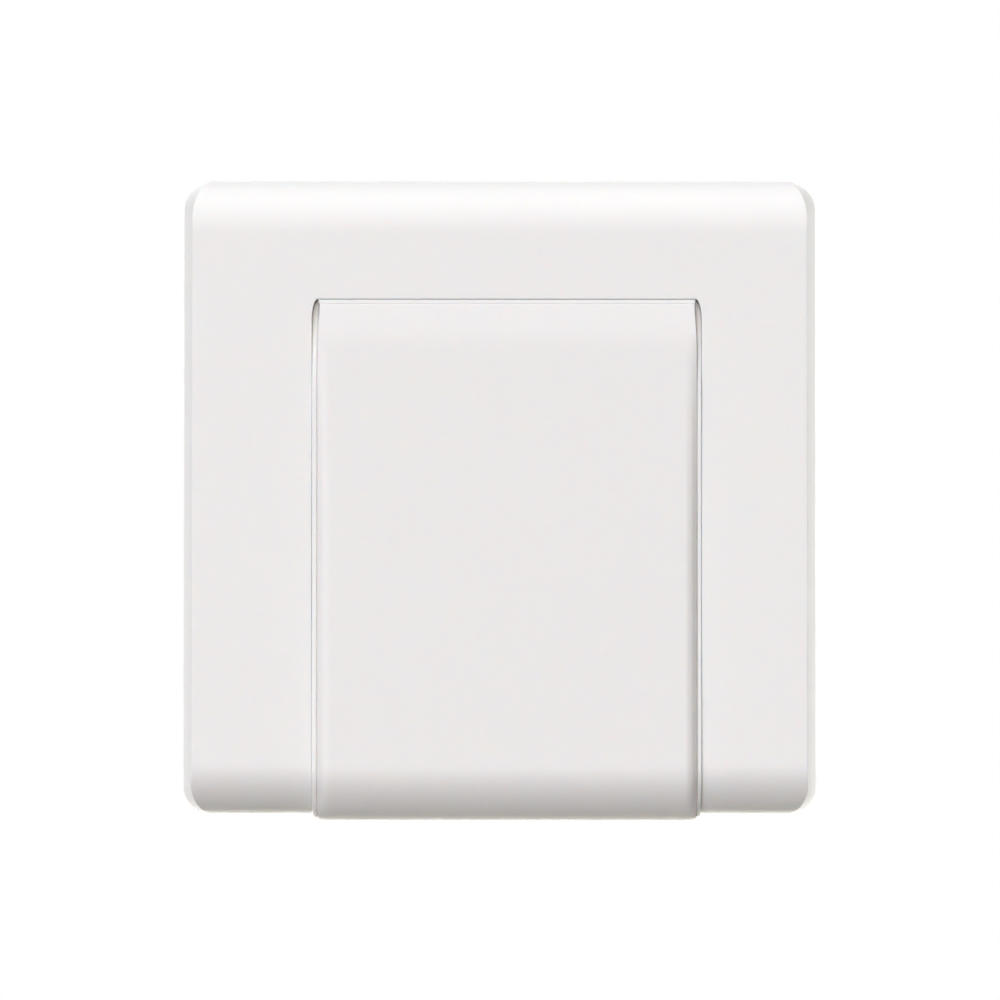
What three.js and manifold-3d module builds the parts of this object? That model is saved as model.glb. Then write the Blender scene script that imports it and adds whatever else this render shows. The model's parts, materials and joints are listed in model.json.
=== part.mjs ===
// Single-gang wall switch for a 60.3 mm wall box: 86 x 86 mm clip-on plate with one large key.
// Millimetres. Origin: centre of the plate on the wall plane. -Y is the front, +Y goes into the
// wall, +Z is up, +X is to the right when the switch is seen from the front.
import * as THREE from "three";
import { mergeVertices } from "three/addons/utils/BufferGeometryUtils.js";
import Module from "manifold-3d";

const wasm = await Module();
wasm.setup();

// ------------------------------------------------------------------ shared dimensions
const CENTRE_X = 0.95; // centre line of the opening and of the mechanism
const HINGE_Y = 0.5; // the hinge line runs along X through (HINGE_Y, HINGE_Z)
const HINGE_Z = -8.7; // also the mechanism's centre
const STEM_TILT = -2.5; // degrees at rest; +2.5 with the key pressed at the bottom

const OPENING_HALF = 26.3;
const OPENING_TOP = 26.46;
const OPENING_CORNER = { x: 0.8, z: 2.7 }; // half axes of the elliptical top corners
const OPENING_CUT_BOTTOM = -60; // the outline runs out below the plate
const OPENING_CUT_Y = [-15, 5];

const SCREW_PITCH = 60.3; // wall screws
const PLATE_HOOK_Z = 22; // plate hooks and their slots in the frame, above and below centre
const TAB_X = 10; // housing snap tabs and their slots in the frame, off the centre line

const COVER_FRONT = 2.3; // y of the mechanism cover's front face
const COVER_T = 1.5;

const TERMINAL_X = 9.5; // terminal screws, off the centre line
const TERMINAL_Z = 12; // upper and lower terminals
const FIXED_CONTACT_Z = 10.75;
const STRIP_FRONT = 15.3; // contact strips
const STRIP_BACK = 16.3;

const LEVER_Y = 11.8; // lever pivot: rear face of the lever on the saddle
const LEVER_TILT = 8; // degrees at rest: lower end pushed in
const MOVING_CONTACT_Z = 11; // either side of the pivot

const SIDES = [-1, 1];
const CORNERS = [[-1, -1], [-1, 1], [1, -1], [1, 1]];
const TERMINALS = {
  common: { side: -1, z: 0 },
  upper: { side: 1, z: TERMINAL_Z },
  lower: { side: 1, z: -TERMINAL_Z },
};

const plastic = (color, roughness) => ({ color, roughness, metalness: 0 });
const metal = (color, roughness) => ({ color, roughness, metalness: 1 });
const FINISH = {
  plate: plastic(0xf1eeec, 0.35),
  frame: plastic(0xdedcd8, 0.55),
  wallScrew: metal(0xb9bbbe, 0.35),
  housing: plastic(0xd9d6d0, 0.55),
  cover: plastic(0xe4e1db, 0.5),
  strip: metal(0xc9a24c, 0.35),
  contact: metal(0xcfd0cf, 0.25),
  terminalScrew: metal(0xc2c3c5, 0.35),
  wireClamp: metal(0xb5b7ba, 0.4),
  key: plastic(0xefebe9, 0.35),
  carrier: plastic(0xe6e3de, 0.5),
  spring: metal(0xb8babd, 0.35),
  plunger: plastic(0xd8d9d6, 0.4),
  lever: metal(0xb87f4a, 0.35),
};

// ------------------------------------------------------------------ outlines
const radians = (degrees) => (degrees * Math.PI) / 180;

function arc(centreA, centreB, radiusA, radiusB, fromDeg, toDeg, steps) {
  const points = [];
  for (let i = 0; i <= steps; i++) {
    const angle = radians(fromDeg + ((toDeg - fromDeg) * i) / steps);
    points.push([centreA + radiusA * Math.cos(angle), centreB + radiusB * Math.sin(angle)]);
  }
  return points;
}
const roundRect = (x0, x1, z0, z1, radius, steps) => [
  ...arc(x1 - radius, z0 + radius, radius, radius, -90, 0, steps),
  ...arc(x1 - radius, z1 - radius, radius, radius, 0, 90, steps),
  ...arc(x0 + radius, z1 - radius, radius, radius, 90, 180, steps),
  ...arc(x0 + radius, z0 + radius, radius, radius, 180, 270, steps),
];
// The same about the origin.
const centredRect = (halfX, halfZ, radius, steps) =>
  roundRect(-halfX, halfX, -halfZ, halfZ, radius, steps);
const slot = (x, z, half, radius, steps) => [
  ...arc(x + half, z, radius, radius, -90, 90, steps),
  ...arc(x - half, z, radius, radius, 90, 270, steps),
];
const mirrorX = (points, side) => points.map(([x, y]) => [side * x, y]);

// The plate's opening in (x, z), grown outwards at the sides and the top.
function openingOutline(grow) {
  const { x: cornerX, z: cornerZ } = OPENING_CORNER;
  const half = OPENING_HALF + grow;
  const top = OPENING_TOP + grow;
  return [
    [CENTRE_X - half, OPENING_CUT_BOTTOM],
    [CENTRE_X + half, OPENING_CUT_BOTTOM],
    ...arc(CENTRE_X + half - cornerX, top - cornerZ, cornerX, cornerZ, 0, 90, 6),
    ...arc(CENTRE_X - half + cornerX, top - cornerZ, cornerX, cornerZ, 90, 180, 6),
  ];
}

// ------------------------------------------------------------------ solids
// Welds a closed geometry into a manifold solid, turning it right side out if needed.
function solid(geometry) {
  let welded = geometry.index ? geometry.toNonIndexed() : geometry.clone();
  welded.deleteAttribute("normal");
  welded.deleteAttribute("uv");
  welded = mergeVertices(welded, 1e-4);
  const index = welded.index.array;
  const triangles = [];
  for (let i = 0; i < index.length; i += 3) {
    const [a, b, c] = [index[i], index[i + 1], index[i + 2]];
    if (a !== b && b !== c && a !== c) triangles.push(a, b, c);
  }
  const build = () =>
    new wasm.Manifold(
      new wasm.Mesh({
        numProp: 3,
        vertProperties: new Float32Array(welded.attributes.position.array),
        triVerts: new Uint32Array(triangles),
      }),
    );
  const made = build();
  if (made.volume() >= 0) return made;
  for (let i = 0; i < triangles.length; i += 3)
    [triangles[i + 1], triangles[i + 2]] = [triangles[i + 2], triangles[i + 1]];
  return build();
}

function geometryOf(made) {
  const mesh = made.getMesh();
  const position = new Float32Array(mesh.numVert * 3);
  for (let i = 0; i < mesh.numVert; i++)
    for (let k = 0; k < 3; k++)
      position[i * 3 + k] = mesh.vertProperties[i * mesh.numProp + k];
  const geometry = new THREE.BufferGeometry();
  geometry.setAttribute("position", new THREE.BufferAttribute(position, 3));
  geometry.setIndex(new THREE.BufferAttribute(new Uint32Array(mesh.triVerts), 1));
  geometry.computeVertexNormals();
  return geometry;
}

const X = new THREE.Vector3(1, 0, 0);
const Y = new THREE.Vector3(0, 1, 0);
const Z = new THREE.Vector3(0, 0, 1);
const shapeOf = (points) => new THREE.Shape(points.map(([a, b]) => new THREE.Vector2(a, b)));

// Bevel: run is its length along the extrusion, drop its depth into the outline.
const NO_BEVEL = { run: 0, drop: 0 };
const extrude = (points, length, { run, drop } = NO_BEVEL) =>
  new THREE.ExtrudeGeometry(shapeOf(points), {
    depth: length - 2 * run,
    bevelEnabled: run > 0,
    bevelThickness: run,
    bevelSize: drop,
    bevelOffset: -drop,
    bevelSegments: 1,
    steps: 1,
  });

// The x ends, and a box's z ends, may come in either order, so that parts can be mirrored.
// A (y, z) outline drawn out along X.
function alongX(points, x0, x1, bevel = NO_BEVEL) {
  const geometry = extrude(points, Math.abs(x1 - x0), bevel);
  geometry.applyMatrix4(new THREE.Matrix4().makeBasis(Y, Z, X));
  return solid(geometry.translate(Math.min(x0, x1) + bevel.run, 0, 0));
}
// An (x, z) outline drawn out along Y; its x values grow by the share draft per mm of y.
function alongY(points, y0, y1, draft = 0) {
  const geometry = extrude(points, y1 - y0);
  geometry.applyMatrix4(new THREE.Matrix4().makeBasis(X, Z, Y.clone().negate()));
  geometry.translate(0, y1, 0);
  const vertices = geometry.attributes.position;
  for (let i = 0; i < vertices.count; i++)
    vertices.setX(i, vertices.getX(i) * (1 + draft * vertices.getY(i)));
  return solid(geometry);
}
// An (x, y) outline drawn out along Z.
const alongZ = (points, z0, z1) => solid(extrude(points, z1 - z0).translate(0, 0, z0));

const box = (x0, x1, y0, y1, z0, z1) =>
  solid(
    new THREE.BoxGeometry(Math.abs(x1 - x0), y1 - y0, Math.abs(z1 - z0)).translate(
      (x0 + x1) / 2,
      (y0 + y1) / 2,
      (z0 + z1) / 2,
    ),
  );
const cylinder = (radius, y0, y1, segments) =>
  new THREE.CylinderGeometry(radius, radius, y1 - y0, segments).translate(0, (y0 + y1) / 2, 0);
const rodY = (radius, y0, y1, x, z, segments) =>
  solid(cylinder(radius, y0, y1, segments).translate(x, 0, z));
const rodX = (radius, x0, x1, y, z, segments) =>
  solid(
    cylinder(radius, Math.min(x0, x1), Math.max(x0, x1), segments)
      .rotateZ(-Math.PI / 2)
      .translate(0, y, z),
  );
// A (radius, y) profile turned about the Y axis.
const turned = (profile, segments) =>
  solid(
    new THREE.LatheGeometry(
      profile.map(([radius, y]) => new THREE.Vector2(radius, y)),
      segments,
    ),
  );

// ------------------------------------------------------------------ front plate
const PLATE_HALF = 43; // half width and height at the wall
const PLATE_FRONT = -8.4; // y of the front face
const PLATE_FRONT_HALF = 41.5; // half width at the front face: the sides are drafted
const PLATE_DRAFT = (PLATE_HALF - PLATE_FRONT_HALF) / PLATE_HALF / -PLATE_FRONT;
const PLATE_TOP_R = 7.4; // roll of the top edge
const PLATE_BOTTOM_R = 6.9; // roll of the bottom edge
const PLATE_CORNER_R = 3.4;
const PLATE_WALL = 2;
const PLATE_BLANK = [-50, 50]; // x ends of the profile before it is trimmed
const PLATE_CUT_FRONT = -12;

const COLLAR = 1.2; // thickness of the wall round the opening
const COLLAR_FRONT = -7;
const COLLAR_BACK = -4.6;
const LEG_Z = -39.4; // top of the cheeks and of the tie
const CHEEK_BOTTOM = -45;
const TIE = { overlap: 1, front: -1.2, bottom: -41.6 };
const PLATE_HOOK_W = 6;
// (x, y), right-hand side
const PLATE_HOOK = [
  [33.6, -6.8], [33.6, 1.9], [34.4, 1.9], [35.9, 0.9], [35.9, 0.35], [35.0, 0.25], [35.0, -6.8],
];

// (y, z) section, moved inwards by inset and open-ended at y = back.
const plateProfile = (inset, back) => {
  const topR = PLATE_TOP_R - inset;
  const bottomR = PLATE_BOTTOM_R - inset;
  const topY = PLATE_FRONT + PLATE_TOP_R;
  const bottomY = PLATE_FRONT + PLATE_BOTTOM_R;
  return [
    [back, -PLATE_HALF + inset],
    [back, PLATE_HALF - inset],
    ...arc(topY, PLATE_HALF - PLATE_TOP_R, topR, topR, 90, 180, 12),
    ...arc(bottomY, -PLATE_HALF + PLATE_BOTTOM_R, bottomR, bottomR, 180, 270, 12),
  ];
};
function plateBlock(inset, profileBack, planBack, cornerSteps) {
  const half = PLATE_HALF - inset;
  const plan = centredRect(half, half, PLATE_CORNER_R - inset, cornerSteps);
  return alongX(plateProfile(inset, profileBack), ...PLATE_BLANK).intersect(
    alongY(plan, PLATE_CUT_FRONT, planBack, PLATE_DRAFT),
  );
}

function frontPlate() {
  const outer = plateBlock(0, 0, 0, 7);
  const collar = alongY(openingOutline(COLLAR), COLLAR_FRONT, COLLAR_BACK).intersect(outer);
  let plate = outer.subtract(plateBlock(PLATE_WALL, 2, 3, 5)).add(collar);
  for (const side of SIDES) {
    // cheek that closes the leg beside the key's lip, behind the roll
    const x = CENTRE_X + side * (OPENING_HALF + COLLAR / 2);
    const cheek = box(x - COLLAR / 2, x + COLLAR / 2, COLLAR_FRONT, 0, CHEEK_BOTTOM, LEG_Z);
    plate = plate.add(cheek.intersect(outer));
  }
  plate = plate.subtract(alongY(openingOutline(0), ...OPENING_CUT_Y));
  // thin tie across the bottom of the opening, behind the key's lip
  const tieHalf = OPENING_HALF + TIE.overlap;
  plate = plate.add(
    box(CENTRE_X - tieHalf, CENTRE_X + tieHalf, TIE.front, 0, TIE.bottom, LEG_Z),
  );
  // four snap hooks that pass through the frame and catch behind it
  for (const [sideX, sideZ] of CORNERS) {
    const z = sideZ * PLATE_HOOK_Z;
    plate = plate.add(
      alongZ(mirrorX(PLATE_HOOK, sideX), z - PLATE_HOOK_W / 2, z + PLATE_HOOK_W / 2),
    );
  }
  return plate;
}

// ------------------------------------------------------------------ mounting frame
const FRAME_HALF = 39;
const FRAME_FRONT = -1.6;
const FRAME_BACK = -0.15; // the rear face clears the wall plane between the pads
const FRAME_CUT_Y = [-5, 3];
const PAD_Y = [-1, 0]; // pads that touch the wall
const CENTRE_PAD = { halfX: 3, bottom: -1.5, top: 2.5 };
const CORNER_PAD = { x: [24, 30], z: [31, 37] };
const RIM = { front: -2.4, back: -1, outer: 0.2, inner: 1.4 }; // outer, inner: in from the edge
const LIP_RECESS = { halfX: 28, z: [-40, -36] }; // in the rim, behind the key's lip
const FRAME_WINDOW = { halfX: 12.4, halfZ: 7, radius: 2 };
const WALL_SCREW_SLOT = { half: 1.2, radius: 2.2 };
const HOOK_SLOT = { x: [33.2, 35.5], halfZ: 3.5 };
const TAB_SLOT = { halfX: 2.6, z: [19.2, 21.2] }; // z from the mechanism's centre

function mountingFrame() {
  const square = (inset, radius) =>
    centredRect(FRAME_HALF - inset, FRAME_HALF - inset, radius, 4);
  let frame = alongY(square(0, 2), FRAME_FRONT, FRAME_BACK);
  const { halfX, bottom, top } = CENTRE_PAD;
  frame = frame.add(box(-halfX, halfX, ...PAD_Y, bottom, top));
  for (const [sideX, sideZ] of CORNERS) {
    const [x0, x1] = CORNER_PAD.x.map((x) => sideX * x);
    const [z0, z1] = CORNER_PAD.z.map((z) => sideZ * z);
    frame = frame.add(box(x0, x1, ...PAD_Y, z0, z1));
  }
  const rim = alongY(square(RIM.outer, 1.9), RIM.front, RIM.back);
  frame = frame.add(rim.subtract(alongY(square(RIM.inner, 1), -4, 0.5)));

  const recess = LIP_RECESS.halfX;
  frame = frame.subtract(
    box(CENTRE_X - recess, CENTRE_X + recess, -5, FRAME_FRONT, ...LIP_RECESS.z),
  );
  const { halfX: windowX, halfZ: windowZ, radius } = FRAME_WINDOW;
  const window = roundRect(
    CENTRE_X - windowX,
    CENTRE_X + windowX,
    HINGE_Z - windowZ,
    HINGE_Z + windowZ,
    radius,
    4,
  );
  frame = frame.subtract(alongY(window, ...FRAME_CUT_Y));
  for (const side of SIDES) {
    const screwSlot = slot(
      (side * SCREW_PITCH) / 2,
      0,
      WALL_SCREW_SLOT.half,
      WALL_SCREW_SLOT.radius,
      8,
    );
    frame = frame.subtract(alongY(screwSlot, ...FRAME_CUT_Y));
    const hookX = HOOK_SLOT.x.map((x) => side * x);
    for (const z of [-PLATE_HOOK_Z, PLATE_HOOK_Z])
      frame = frame.subtract(
        box(...hookX, ...FRAME_CUT_Y, z - HOOK_SLOT.halfZ, z + HOOK_SLOT.halfZ),
      );
    const tabZ = TAB_SLOT.z.map((z) => HINGE_Z + side * z);
    for (const x of [CENTRE_X - TAB_X, CENTRE_X + TAB_X])
      frame = frame.subtract(
        box(x - TAB_SLOT.halfX, x + TAB_SLOT.halfX, ...FRAME_CUT_Y, ...tabZ),
      );
  }
  return frame;
}

// ------------------------------------------------------------------ wall screws
// (radius, y) from the head to the tip
const WALL_SCREW_PROFILE = [
  [0, -4.2], [1.6, -4.1], [2.8, -3.75], [3.5, -3.1], [3.5, -1.75],
  [1.95, -1.75], [1.95, 20.6], [1.3, 21.6], [0, 21.6],
];
const CROSS = { arm: 2.1, half: 0.45, y: [-5, -2.7] }; // cross recess

function wallScrew() {
  const { arm, half, y } = CROSS;
  return turned(WALL_SCREW_PROFILE, 28)
    .subtract(box(-half, half, ...y, -arm, arm))
    .subtract(box(-arm, arm, ...y, -half, half));
}

// ------------------------------------------------------------------ mechanism housing
// The mechanism's parts are centred on the hinge line in x and z.
const HOUSING = { halfX: 17, halfZ: 21, front: 0.3, back: 24, wall: 1.6 };
// inner ribs end inside the side walls, the floor and the end walls
const RIB_END = { x: 15.6, y: 22.8, z: 19.6 };
const DIVIDER = { front: 13.2, z: 6, half: 0.6 }; // insulating walls between the terminals
const REST_FRONT = STRIP_BACK + 0.1; // rests behind the contact strips
const CONTACT_RESTS = [[-4.4, -2.2], [2.7, 4.9]]; // x ranges, upper and lower strips
const COMMON_RESTS = [[-4.6, -2.6], [1.2, 3.2]]; // x ranges
const REST_HALF_Z = 2.5;
const LEDGE = { x: 13.6, z: 17.5, gap: 0.1 }; // gap behind the cover
const TAB_HALF_W = 2.2;
const TAB_ROOT = HOUSING.front + 2;
// (y, z), upper side
const TAB = [
  [TAB_ROOT, 19.5], [-2.7, 19.5], [-2.7, 20.3], [-2.0, 21.7],
  [-1.85, 21.7], [-1.75, 20.9], [TAB_ROOT, 20.9],
];
const DRIVER_HOLE = { radius: 3.5, y: [20, 26] }; // behind each terminal screw
const WIRE_ENTRY = { x: [15, 18], y: [16.5, 18.7], halfZ: 3.2 };

function mechanismHousing() {
  const { halfX, halfZ, front, back, wall } = HOUSING;
  const innerX = halfX - wall;
  const innerZ = halfZ - wall;
  let housing = alongY(centredRect(halfX, halfZ, 1.5, 4), front, back).subtract(
    box(-innerX, innerX, front - 2, back - wall, -innerZ, innerZ),
  );
  const addRests = (ranges, z) => {
    for (const range of ranges)
      housing = housing.add(
        box(...range, REST_FRONT, RIB_END.y, z - REST_HALF_Z, z + REST_HALF_Z),
      );
  };
  for (const side of SIDES) {
    const z = side * DIVIDER.z;
    housing = housing.add(
      box(-RIB_END.x, RIB_END.x, DIVIDER.front, RIB_END.y, z - DIVIDER.half, z + DIVIDER.half),
    );
    addRests(CONTACT_RESTS, side * TERMINAL_Z);
    // ledges in the corners behind the cover
    const ledgeFront = COVER_FRONT + COVER_T + LEDGE.gap;
    const ledgeX = [side * LEDGE.x, side * RIB_END.x];
    for (const end of SIDES)
      housing = housing.add(
        box(...ledgeX, ledgeFront, RIB_END.y, end * LEDGE.z, end * RIB_END.z),
      );
    // snap tabs that catch in front of the frame
    const tab = TAB.map(([y, tabZ]) => [y, side * tabZ]);
    for (const x of [-TAB_X, TAB_X])
      housing = housing.add(alongX(tab, x - TAB_HALF_W, x + TAB_HALF_W));
  }
  addRests(COMMON_RESTS, 0);
  for (const { side, z } of Object.values(TERMINALS)) {
    const entryX = WIRE_ENTRY.x.map((x) => side * x);
    housing = housing
      .subtract(rodY(DRIVER_HOLE.radius, ...DRIVER_HOLE.y, side * TERMINAL_X, z, 28))
      .subtract(
        box(...entryX, ...WIRE_ENTRY.y, z - WIRE_ENTRY.halfZ, z + WIRE_ENTRY.halfZ),
      );
  }
  return housing;
}

// ------------------------------------------------------------------ mechanism cover
const COVER = { halfX: 15.1, halfZ: 19.1 };
const COVER_WINDOW = { halfX: 8.15, halfZ: 4.5 };
const EAR = { inner: 8.3, outer: 11.2, radius: 2.95 };
const EAR_FOOT = { outer: 9, halfZ: 4.6 }; // strip along the window's side
const BEARING_R = 1.75;
const BEARING_INNER = 7.9; // x where the bore starts
const BEARING_MOUTH = 1.25; // half height of the gap at the front, where the pins snap in

function mechanismCover() {
  const coverBack = COVER_FRONT + COVER_T;
  const { halfX, halfZ } = COVER;
  const { halfX: windowX, halfZ: windowZ } = COVER_WINDOW;
  let cover = box(-halfX, halfX, COVER_FRONT, coverBack, -halfZ, halfZ).subtract(
    box(-windowX, windowX, -2, 5, -windowZ, windowZ),
  );
  const ear = [
    [coverBack, -EAR.radius],
    [coverBack, EAR.radius],
    ...arc(HINGE_Y, 0, EAR.radius, EAR.radius, 90, 270, 12),
  ];
  for (const side of SIDES) {
    const inner = side * EAR.inner;
    const outer = side * EAR.outer;
    const boreInner = side * BEARING_INNER;
    const { outer: footX, halfZ: footZ } = EAR_FOOT;
    cover = cover
      .add(alongX(ear, inner, outer))
      .add(box(inner, side * footX, COVER_FRONT, coverBack, -footZ, footZ))
      .subtract(rodX(BEARING_R, boreInner, outer, HINGE_Y, 0, 32))
      .subtract(box(boreInner, outer, -4, HINGE_Y, -BEARING_MOUTH, BEARING_MOUTH));
  }
  return cover;
}

// ------------------------------------------------------------------ terminals
const STRIP_HALF_W = 3.4;
const STRIP_END = 13.6; // x of the end at the terminal screw
const CONTACT_STRIP_INNER = -4.6;
const STRIP_SCREW_HOLE_R = 1.75;
const STRIP_CONTACT_HOLE_R = 0.9;
// saddle that carries the lever: a web with a prong at each end
const SADDLE = { halfX: 3.4, halfZ: 0.5, prongX: 2.3, prongFront: 10.6 };
const SADDLE_BACK = STRIP_FRONT + 0.5;
// (radius, y), front to back
const FIXED_CONTACT_PROFILE = [
  [0, 14.5], [1.4, 14.52], [1.8, 14.75], [1.8, 15.18], [0.75, 15.18],
  [0.75, 16.42], [1.15, 16.42], [1.1, 16.75], [0, 16.9],
];
const TERMINAL_SCREW_PROFILE = [
  [0, 13.6], [1.2, 13.6], [1.6, 14.1], [1.6, 20.0],
  [3.0, 20.0], [3.0, 21.5], [2.6, 22.0], [0, 22.0],
];
// square clamp plate with two edges folded to the front
const CLAMP = { half: 3.5, y: [18.6, 19.8], foldY: [17.4, 18.8], foldZ: 2.7, holeR: 1.85 };

// holes: [x, z, radius]
function strip(x0, x1, z, holes) {
  const outline = roundRect(x0, x1, z - STRIP_HALF_W, z + STRIP_HALF_W, 0.8, 3);
  let made = alongY(outline, STRIP_FRONT, STRIP_BACK);
  for (const [holeX, holeZ, radius] of holes)
    made = made.subtract(rodY(radius, STRIP_FRONT - 1, STRIP_BACK + 1, holeX, holeZ, 24));
  return made;
}

function commonTerminal() {
  const { halfX, halfZ, prongX, prongFront } = SADDLE;
  let terminal = strip(-STRIP_END, halfX, 0, [[-TERMINAL_X, 0, STRIP_SCREW_HOLE_R]]);
  terminal = terminal.add(box(-halfX, halfX, LEVER_Y + 0.2, SADDLE_BACK, -halfZ, halfZ));
  for (const side of SIDES)
    terminal = terminal.add(
      box(side * prongX, side * halfX, prongFront, SADDLE_BACK, -halfZ, halfZ),
    );
  return terminal;
}

const contactTerminal = (side) =>
  strip(CONTACT_STRIP_INNER, STRIP_END, side * TERMINAL_Z, [
    [TERMINAL_X, side * TERMINAL_Z, STRIP_SCREW_HOLE_R],
    [0, side * FIXED_CONTACT_Z, STRIP_CONTACT_HOLE_R],
  ]);

// The driver slot is in the rear face.
const terminalScrew = () =>
  turned(TERMINAL_SCREW_PROFILE, 24).subtract(box(-4, 4, 20.9, 23, -0.45, 0.45));

function wireClamp() {
  const { half, y, foldY, foldZ, holeR } = CLAMP;
  return box(-half, half, ...y, -half, half)
    .add(box(-half, half, ...foldY, foldZ, half))
    .add(box(-half, half, ...foldY, -half, -foldZ))
    .subtract(rodY(holeR, 16, 21, 0, 0, 24));
}

// ------------------------------------------------------------------ rocker key
// These z values are from the plate's centre; the key is built in the rocker's frame.
const KEY_HALF = 26.15; // half width at the walls
const KEY_TOP = 26.32; // z of the top wall
const KEY_CREASE = 25.8; // z of the top crease of the face
const KEY_FRONT = -9.3; // y of the face at the height of the hinge line
const KEY_LEAN = 1.0; // degrees: at rest the top of the face is in, the bottom is out
const KEY_BEVEL = { run: 1.2, drop: 0.75 }; // chamfer along the side edges
const KEY_CURVE_Z = 19.9; // the face starts to fall away here
const KEY_EASE = 2.6; // over this height it eases into
const KEY_SLOPE = 0.14; // an even slope up to the top crease
const KEY_TOP_STEP = 0.35; // the top wall starts this far behind the crease
const KEY_ROLL_R = 8.1;
const KEY_ROLL_Z = -36.0;
const KEY_SKIN = 1.4;
const KEY_SIDE_WALL = 1.2;
// (y, z) of what is kept: side walls end at y = -5, the bottom lip runs on to -3.7
const KEY_TRIM = [
  [-14, 40], [-5, 40], [-5, -41.5 - HINGE_Z],
  [-3.7, -42.3 - HINGE_Z], [-3.7, -50 - HINGE_Z], [-14, -50 - HINGE_Z],
];
const KEY_MOUNT_Z = 8; // pads and hooks, above and below the hinge line
const KEY_PAD = { radius: 1.6, x: 5, front: KEY_FRONT + 1.2, back: -5 };
const KEY_HOOK_W = 4;
// (x, y), right-hand side
const KEY_HOOK = [
  [12.3, -8.1], [13.5, -8.1], [13.5, -2.75], [12.4, -2.75],
  [11.6, -3.15], [11.6, -3.35], [12.3, -3.35],
];
const KEY_RIB = { x: 19, half: 0.5, y: [-7.9, -6.4], z: [-28, 27] };

// How far the face falls away at height z.
const keyDip = (z) => {
  const rise = Math.max(0, z - KEY_CURVE_Z);
  return rise < KEY_EASE
    ? (KEY_SLOPE * rise * rise) / (2 * KEY_EASE)
    : KEY_SLOPE * (rise - KEY_EASE / 2);
};
const keyFaceY = (z) => KEY_FRONT + Math.tan(radians(KEY_LEAN)) * (z - HINGE_Z);

// (y, z) section, moved inwards by inset and closed at y = back.
function keyOutline(inset, back) {
  const top = KEY_TOP - HINGE_Z - inset;
  const crease = KEY_CREASE - inset;
  const rollR = KEY_ROLL_R - inset;
  const rollZ = KEY_ROLL_Z - HINGE_Z;
  const curve = [];
  for (let i = 0; i <= 8; i++) {
    const z = KEY_CURVE_Z + (1 - i / 8) * (crease - KEY_CURVE_Z);
    curve.push([keyFaceY(z) + inset + keyDip(z), z - HINGE_Z]);
  }
  // the roll starts square to the leaning face
  const lean = radians(KEY_LEAN);
  const rollStart = KEY_ROLL_Z - KEY_ROLL_R * Math.sin(lean);
  const rollY = keyFaceY(rollStart) + KEY_ROLL_R * Math.cos(lean);
  return [
    [back, top],
    [curve[0][0] + KEY_TOP_STEP, top],
    ...curve,
    ...arc(rollY, rollZ, rollR, rollR, 180 + KEY_LEAN, 270, 16),
    [back, rollZ - rollR],
  ];
}

function rockerKey() {
  // seen from the front the key follows the rounded top corners of the opening
  const plan = alongY(openingOutline(KEY_HALF - OPENING_HALF), ...OPENING_CUT_Y);
  const cavityHalf = KEY_HALF - KEY_SIDE_WALL;
  let key = alongX(keyOutline(0, 4), -KEY_HALF, KEY_HALF, KEY_BEVEL)
    .intersect(alongX(KEY_TRIM, -30, 30))
    .intersect(plan.translate([-CENTRE_X, 0, -HINGE_Z]))
    .subtract(alongX(keyOutline(KEY_SKIN, 8), -cavityHalf, cavityHalf));
  for (const side of SIDES) {
    // pads in front of the carrier, hooks that clip behind its edges
    const { radius, x, front, back } = KEY_PAD;
    for (const z of [-KEY_MOUNT_Z, KEY_MOUNT_Z])
      key = key
        .add(rodY(radius, front, back, side * x, z, 16))
        .add(alongZ(mirrorX(KEY_HOOK, side), z - KEY_HOOK_W / 2, z + KEY_HOOK_W / 2));
    // stiffening rib
    const ribX = side * KEY_RIB.x;
    key = key.add(
      box(ribX - KEY_RIB.half, ribX + KEY_RIB.half, ...KEY_RIB.y, ...KEY_RIB.z),
    );
  }
  return key;
}

// ------------------------------------------------------------------ rocker carrier
const CARRIER = { halfX: 12, halfZ: 13, front: -4.9, back: -3.5 };
const CHEEK = { inner: 5.6, outer: 7.9, front: -4.2, halfZ: 4.5, radius: 2.6 };
const TRUNNION = { radius: 1.6, inner: 7.5, outer: 10.8 };
const WEB = { halfX: 6, back: 2.2, halfZ: 0.8 };
// y distances behind the hinge line, along the tilted stem
const STEM = { radius: 2.9, y: [-4.6, 7.5] };
const BORE = { radius: 1.7, y: [-3.1, 9] };

function rockerCarrier() {
  const tilt = new THREE.Matrix4()
    .makeTranslation(0, HINGE_Y, 0)
    .multiply(new THREE.Matrix4().makeRotationX(radians(STEM_TILT)));
  const onStem = ({ radius, y }) => solid(cylinder(radius, ...y, 24).applyMatrix4(tilt));
  const cheek = [
    [CHEEK.front, -CHEEK.halfZ],
    [CHEEK.front, CHEEK.halfZ],
    ...arc(HINGE_Y, 0, CHEEK.radius, CHEEK.radius, 90, -90, 12),
  ];
  const { halfX, halfZ, front, back } = CARRIER;
  let carrier = alongY(centredRect(halfX, halfZ, 1.5, 4), front, back);
  for (const side of SIDES) {
    const { radius, inner, outer } = TRUNNION;
    carrier = carrier
      .add(alongX(cheek, side * CHEEK.inner, side * CHEEK.outer))
      .add(rodX(radius, side * inner, side * outer, HINGE_Y, 0, 32));
  }
  return carrier
    .add(box(-WEB.halfX, WEB.halfX, CHEEK.front, WEB.back, -WEB.halfZ, WEB.halfZ))
    .add(onStem(STEM))
    .subtract(onStem(BORE));
}

// ------------------------------------------------------------------ spring and plunger
// Both lie along the +Y of the stem's frame.
const SPRING = { radius: 1.2, from: -2.75, to: 3.7, turns: 8, wireR: 0.19 };
const PLUNGER_R = 1.45;
const PLUNGER_TIP_Y = 8.55; // centre of the rounded tip
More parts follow.
